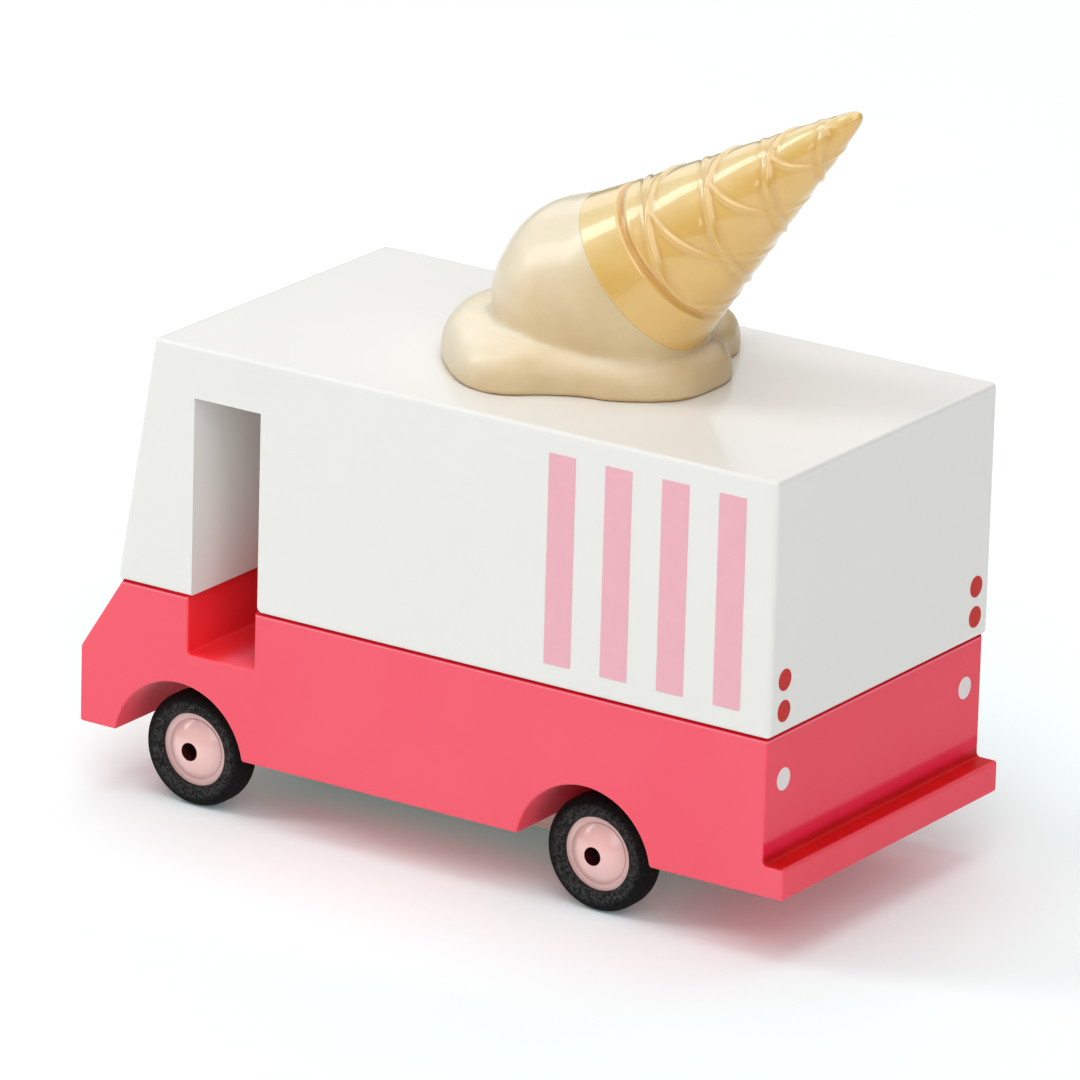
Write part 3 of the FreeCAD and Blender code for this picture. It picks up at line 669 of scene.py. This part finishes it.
# Painted shade: the cone turns dark brown where its groove and rib feet lie in shade.
painted_shade = add_node(tree, "ShaderNodeAttribute", {"attribute_name": "painted_hollow_shade"})
painted_hollow_shade = add_node(tree, "ShaderNodeMix", {"data_type": "RGBA"}, B=(0.52, 0.21, 0.040, 1.0))
tree.links.new(painted_shade.outputs["Fac"], painted_hollow_shade.inputs["Factor"])
tree.links.new(painted_light_from_above(tree, shaded_tone, lit_tone), painted_hollow_shade.inputs["A"])
lay_on(tree, shader, painted_hollow_shade.outputs["Result"],
       Roughness=0.35, Coat_Weight=1.0, Coat_IOR=1.6, Coat_Roughness=0.09)
raise_surface(tree, shader, cloud(tree, 420.0, detail=2.0), depth=0.00012, strength=0.25)
finish_mesh(wafer, wafer_resin)
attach(wrapped_cone, "truck")
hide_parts("wafer_cone")

# ---------------------------------------------------------------------------
# Table top, studio light and camera: a white sheet of card that glows faintly in
# cyan and is tinted cyan near the truck, to cancel the pink light bounced onto it,
# seven soft boxes hung round the truck and over it, and a long lens a metre away.

TABLE_REACH = 6.0  # metres each way from the truck
BOUNCE_TINT_WITHIN, PLAIN_BEYOND = 0.045, 0.125
sweep = bpy.data.meshes.new("table_top")
sweep.from_pydata([(-TABLE_REACH, -TABLE_REACH, 0.0), (TABLE_REACH, -TABLE_REACH, 0.0),
                   (TABLE_REACH, TABLE_REACH, 0.0), (-TABLE_REACH, TABLE_REACH, 0.0)],
                  [], [(0, 1, 2, 3)])
table_top = bring_in("table_top", sweep)
white_card, tree, shader = new_finish("white_card")
mottle = cloud(tree, 20.0)
# Painted correction of the light: near the truck the card turns cyan so that the pink light bounced onto
# it reads grey.
bounce_cancelling_tint = shade_between(tree, mottle, (0.890, 0.965, 0.965), (0.900, 0.975, 0.975))
plain = shade_between(tree, mottle, (0.965, 0.965, 0.965), (0.975, 0.975, 0.975))
off_middle = reckon(tree, "LENGTH", read_off(tree)).outputs["Value"]
lay_on(tree, shader, two_tones(tree, rising(tree, off_middle, BOUNCE_TINT_WITHIN, PLAIN_BEYOND), bounce_cancelling_tint, plain),
       Roughness=0.9, Specular_IOR_Level=0.0, Emission_Color=(0.72, 1.0, 1.0, 1.0),
       Emission_Strength=0.088)
finish_mesh(sweep, white_card)

studio = bpy.data.worlds.new("studio")
bpy.context.scene.world = studio
studio.use_nodes = True
dark_room = studio.node_tree.nodes["Background"]
dark_room.inputs["Color"].default_value = (1.0, 1.0, 1.0, 1.0)
dark_room.inputs["Strength"].default_value = 0.0

SOFT_BOXES = (
    # name, degrees round from the nose to the left, degrees up, metres away, width, height,
    # light that it throws on a card held square to it
    ("tall_key_light", 26.0, 38.0, 0.9, 0.28, 0.65, 0.235),
    ("broad_fill", -4.0, 22.0, 1.1, 1.5, 0.9, 0.050),
    ("near_fill", 130.0, 38.0, 1.8, 1.6, 1.6, 0.441),
    ("side_fill", 90.0, 62.0, 1.5, 1.0, 1.0, 0.079),
    ("top_light", 90.0, 89.0, 1.1, 0.8, 0.8, 0.270),
    ("far_fill", -90.0, 41.0, 1.1, 0.8, 0.8, 0.144),
    ("nose_fill", -45.0, 35.0, 1.1, 0.8, 0.8, 0.118),
)
for name, round_from, rise, distance, width, height, strength in SOFT_BOXES:
    towards = (Matrix.Rotation(math.radians(round_from), 3, "Z")
               @ Matrix.Rotation(math.radians(-rise), 3, "Y") @ Vector((1.0, 0.0, 0.0)))
    glow = bpy.data.lights.new(name, "AREA")
    glow.shape = "RECTANGLE"
    glow.size = width
    glow.size_y = height
    glow.energy = 4 * math.pi * strength * distance**2
    soft_box = bring_in(name, glow)
    soft_box.location = towards * distance
    soft_box.rotation_mode = "QUATERNION"
    soft_box.rotation_quaternion = (-towards).to_track_quat("-Z", "Y")

CAMERA_STANDS = Vector((-0.586995, 0.890489, 0.393682))
CAMERA_AIMS_AT = Vector((0.00016, 0.0, 0.0338))
FOCAL_LENGTH = 332.6  # mm, on a film 36 mm wide
CAMERA_ROLL = 1.61  # degrees
lens = bpy.data.cameras.new("long_lens")
lens.lens = FOCAL_LENGTH
lens.sensor_width = 36.0
lens.clip_start, lens.clip_end = 0.05, 20.0
camera = bring_in("long_lens", lens)
camera.location = CAMERA_STANDS
camera.rotation_mode = "QUATERNION"
level = (CAMERA_AIMS_AT - CAMERA_STANDS).to_track_quat("-Z", "Y")
camera.rotation_quaternion = level @ Quaternion((0.0, 0.0, 1.0), math.radians(CAMERA_ROLL))
bpy.context.scene.camera = camera
bpy.context.scene.view_settings.view_transform = "Standard"
